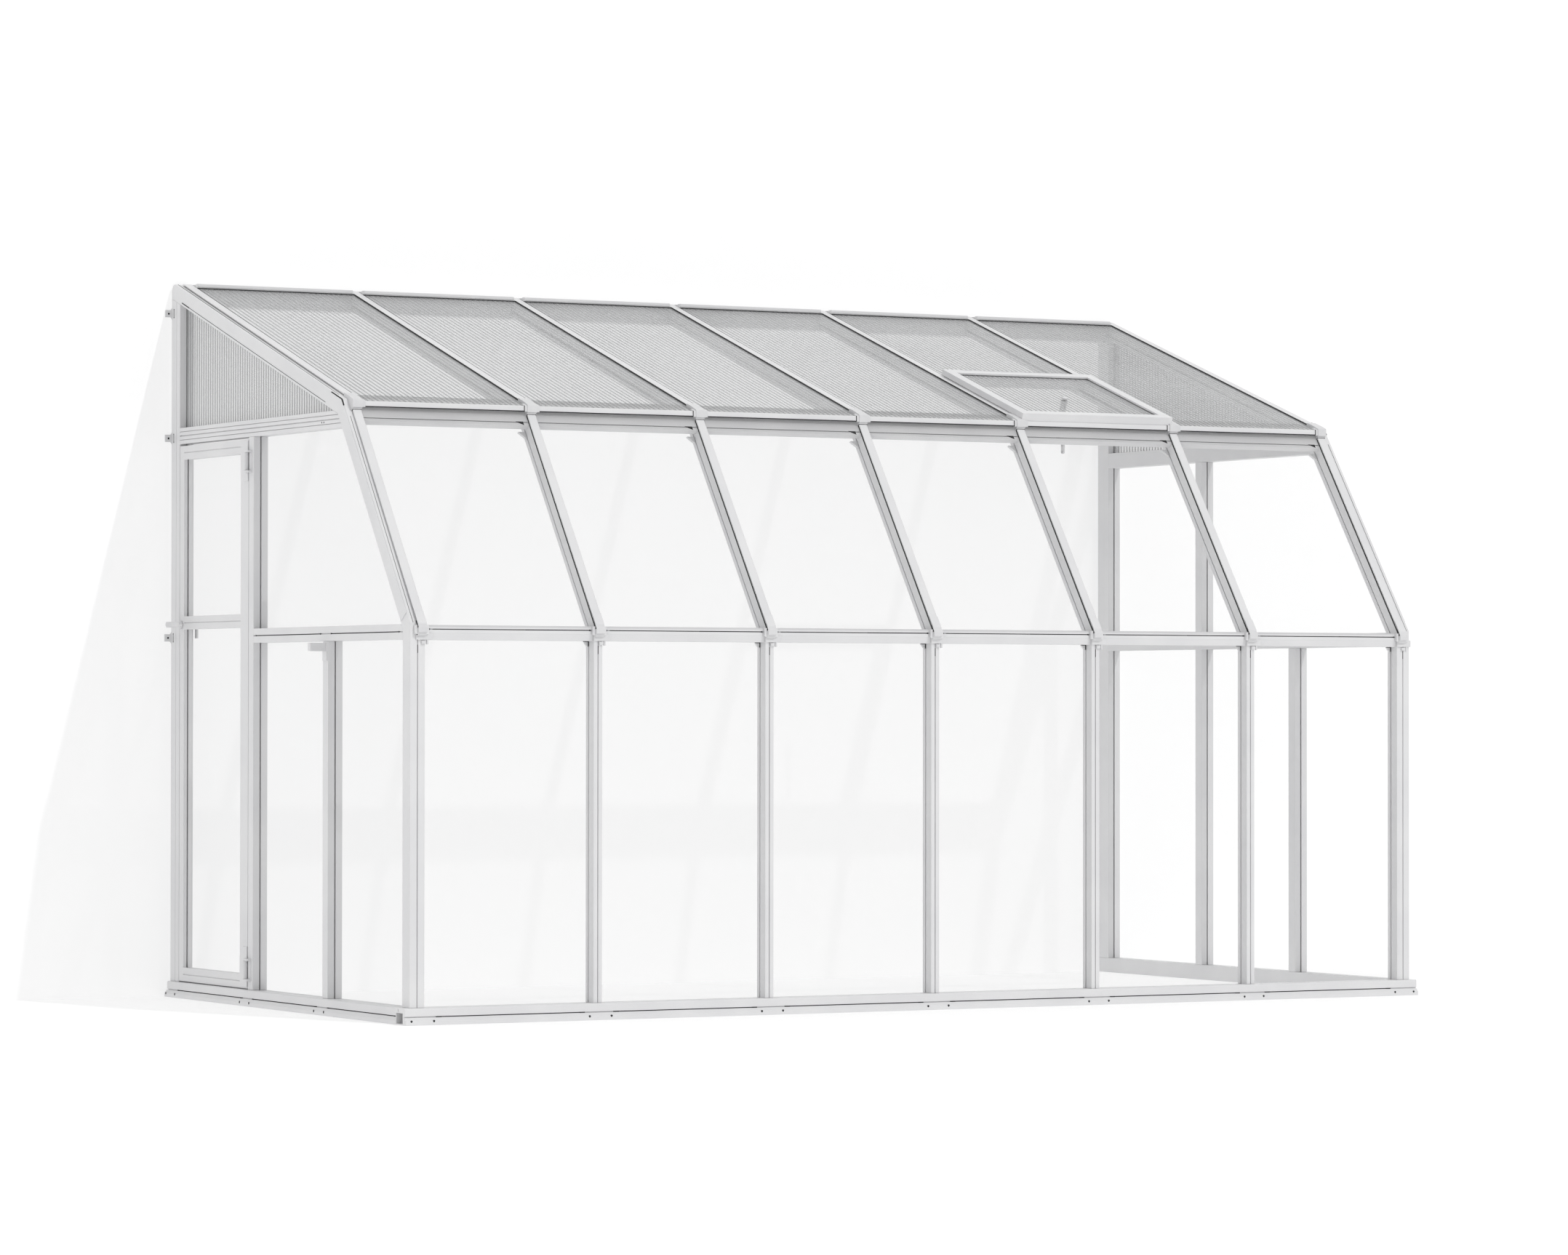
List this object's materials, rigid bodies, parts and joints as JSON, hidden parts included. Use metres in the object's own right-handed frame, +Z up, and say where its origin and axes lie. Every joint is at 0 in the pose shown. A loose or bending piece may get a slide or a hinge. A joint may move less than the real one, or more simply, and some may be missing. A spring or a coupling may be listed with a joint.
{
  "type": "lean to greenhouse",
  "caption": "Lean-to greenhouse with bent white ribs, clear panes, a twin-wall roof, a hinged end door and a hinged roof vent, made to stand against a house wall.",
  "frame": {"origin": "middle of the front base rail's underside, in the plane of the posts' front faces", "axes": "+X along the house wall to the right seen from outside, +Y towards the house wall, +Z up"},
  "size_m": [3.906, 1.956, 2.4506],
  "materials": {
    "white_frame": "satin white extruded profile",
    "clear_sheet": "clear flat sheet",
    "twin_wall": "translucent hollow sheet with fine lengthwise webs",
    "fittings": "moulded light grey"
  },
  "bodies": {
    "shell": {"rib_1": "white_frame", "rib_2": "white_frame", "rib_3": "white_frame", "rib_4": "white_frame", "rib_5": "white_frame", "rib_6": "white_frame", "rib_7": "white_frame", "base_front": "white_frame", "base_left": "white_frame", "base_right": "white_frame", "front_mid_rail": "white_frame", "eave_rail": "white_frame", "ridge_rail": "white_frame", "wall_post_left": "white_frame", "wall_post_right": "white_frame", "mullion_left": "white_frame", "mullion_right": "white_frame", "side_rail_left": "white_frame", "side_rail_right": "white_frame", "header_left": "white_frame", "header_right": "white_frame", "door_post": "white_frame", "right_stud": "white_frame", "vent_cross_bar": "white_frame", "front_pane_1": "clear_sheet", "front_pane_2": "clear_sheet", "front_pane_3": "clear_sheet", "front_pane_4": "clear_sheet", "front_pane_5": "clear_sheet", "front_pane_6": "clear_sheet", "slope_pane_1": "clear_sheet", "slope_pane_2": "clear_sheet", "slope_pane_3": "clear_sheet", "slope_pane_4": "clear_sheet", "slope_pane_5": "clear_sheet", "slope_pane_6": "clear_sheet", "roof_panel_1": "twin_wall", "roof_panel_2": "twin_wall", "roof_panel_3": "twin_wall", "roof_panel_4": "twin_wall", "roof_panel_5": "twin_wall", "roof_panel_6": "twin_wall", "left_low_pane_1": "clear_sheet", "left_low_pane_2": "clear_sheet", "left_high_pane_1": "clear_sheet", "right_low_pane_1": "clear_sheet", "right_low_pane_2": "clear_sheet", "right_low_pane_3": "clear_sheet", "right_high_pane_1": "clear_sheet", "right_high_pane_2": "clear_sheet", "gable_panel_left": "twin_wall", "gable_panel_right": "twin_wall"},
    "door": {"door_frame": "white_frame", "door_pane_lower": "clear_sheet", "door_pane_upper": "clear_sheet"},
    "door_handle": {"door_handle": "fittings"},
    "vent": {"vent_frame": "white_frame", "vent_panel": "twin_wall", "vent_bracket": "fittings"},
    "vent_stay": {"vent_stay": "fittings"}
  },
  "joints": [
    {"name": "door_hinge", "type": "hinge", "parent": "shell", "child": "door", "pos_m": [-1.92, 1.2685, 0.97], "axis": [0, 0, 1], "range_deg": [0, 170]},
    {"name": "handle_turn", "type": "hinge", "parent": "door", "child": "door_handle", "pos_m": [-1.911, 1.843, 1.277], "axis": [1, 0, 0], "range_deg": [0, 90]},
    {"name": "vent_hinge", "type": "hinge", "parent": "shell", "child": "vent", "pos_m": [0.9375, 1.0224, 2.17964], "axis": [-1, 0, 0], "range_deg": [0, 40]},
    {"name": "stay_pivot", "type": "hinge", "parent": "vent", "child": "vent_stay", "pos_m": [0.9375, 0.70798, 2.04133], "axis": [1, 0, 0], "range_deg": [-15, 75]}
  ]
}
